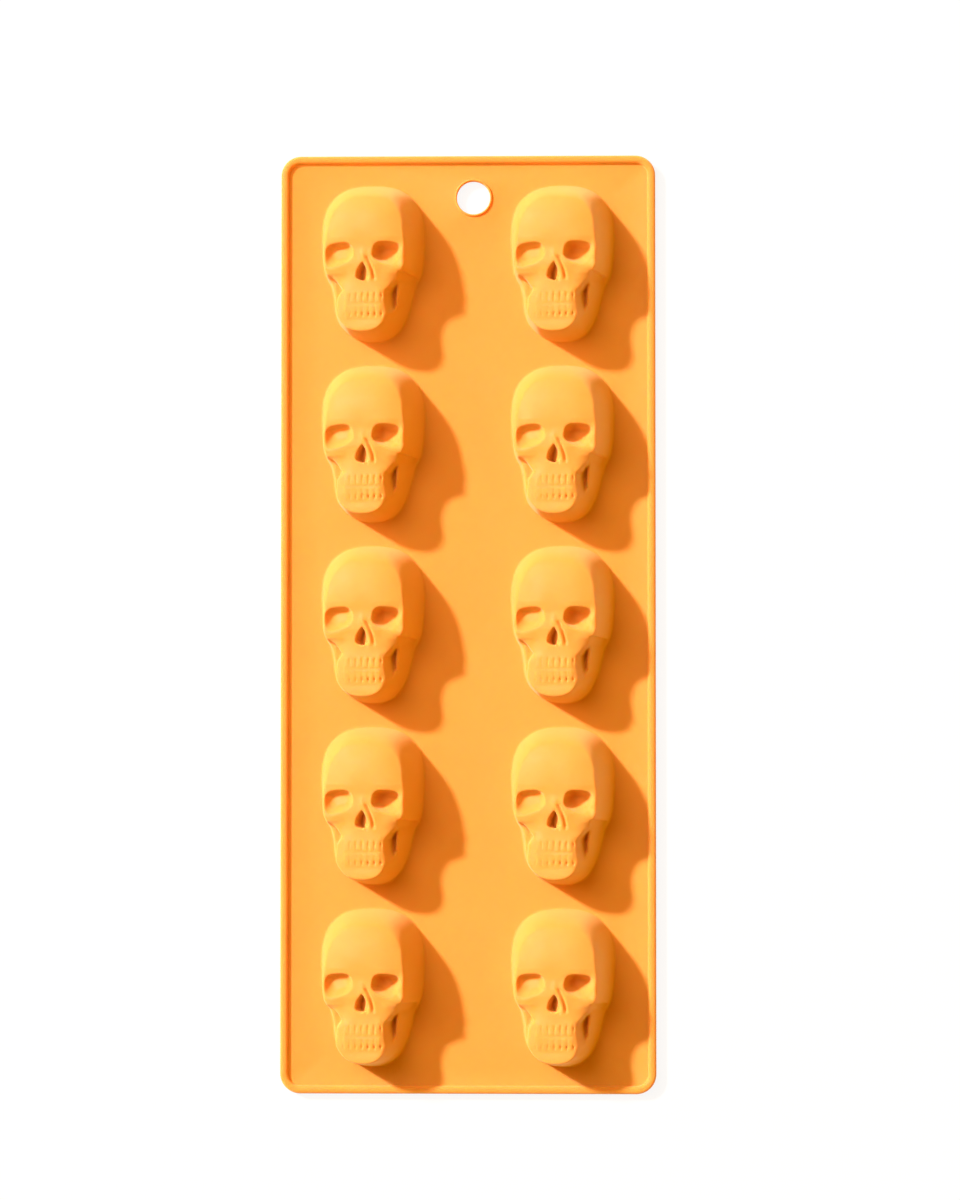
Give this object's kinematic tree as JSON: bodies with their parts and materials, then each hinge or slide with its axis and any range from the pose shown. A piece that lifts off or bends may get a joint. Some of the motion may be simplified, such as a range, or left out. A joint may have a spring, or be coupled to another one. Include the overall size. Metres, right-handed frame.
{
  "type": "skull chocolate mould",
  "caption": "Flexible silicone tray mould with rows of skull-shaped cavities, a raised edge bead and a hanging hole, for casting small chocolates.",
  "frame": {"origin": "on the flat fill face, in the middle of the tray's outline", "axes": "+Z out of the sheet on the side of the skulls, +Y along the length towards the hanging hole, +X across"},
  "size_m": [0.112, 0.28, 0.0181],
  "materials": {
    "silicone": "matte"
  },
  "bodies": {
    "root": {"tray_sheet": "silicone", "rim_bead": "silicone", "hanging_eyelet": "silicone", "skull_cup_left_1": "silicone", "skull_cup_left_2": "silicone", "skull_cup_left_3": "silicone", "skull_cup_left_4": "silicone", "skull_cup_left_5": "silicone", "skull_cup_right_1": "silicone", "skull_cup_right_2": "silicone", "skull_cup_right_3": "silicone", "skull_cup_right_4": "silicone", "skull_cup_right_5": "silicone"}
  },
  "joints": []
}
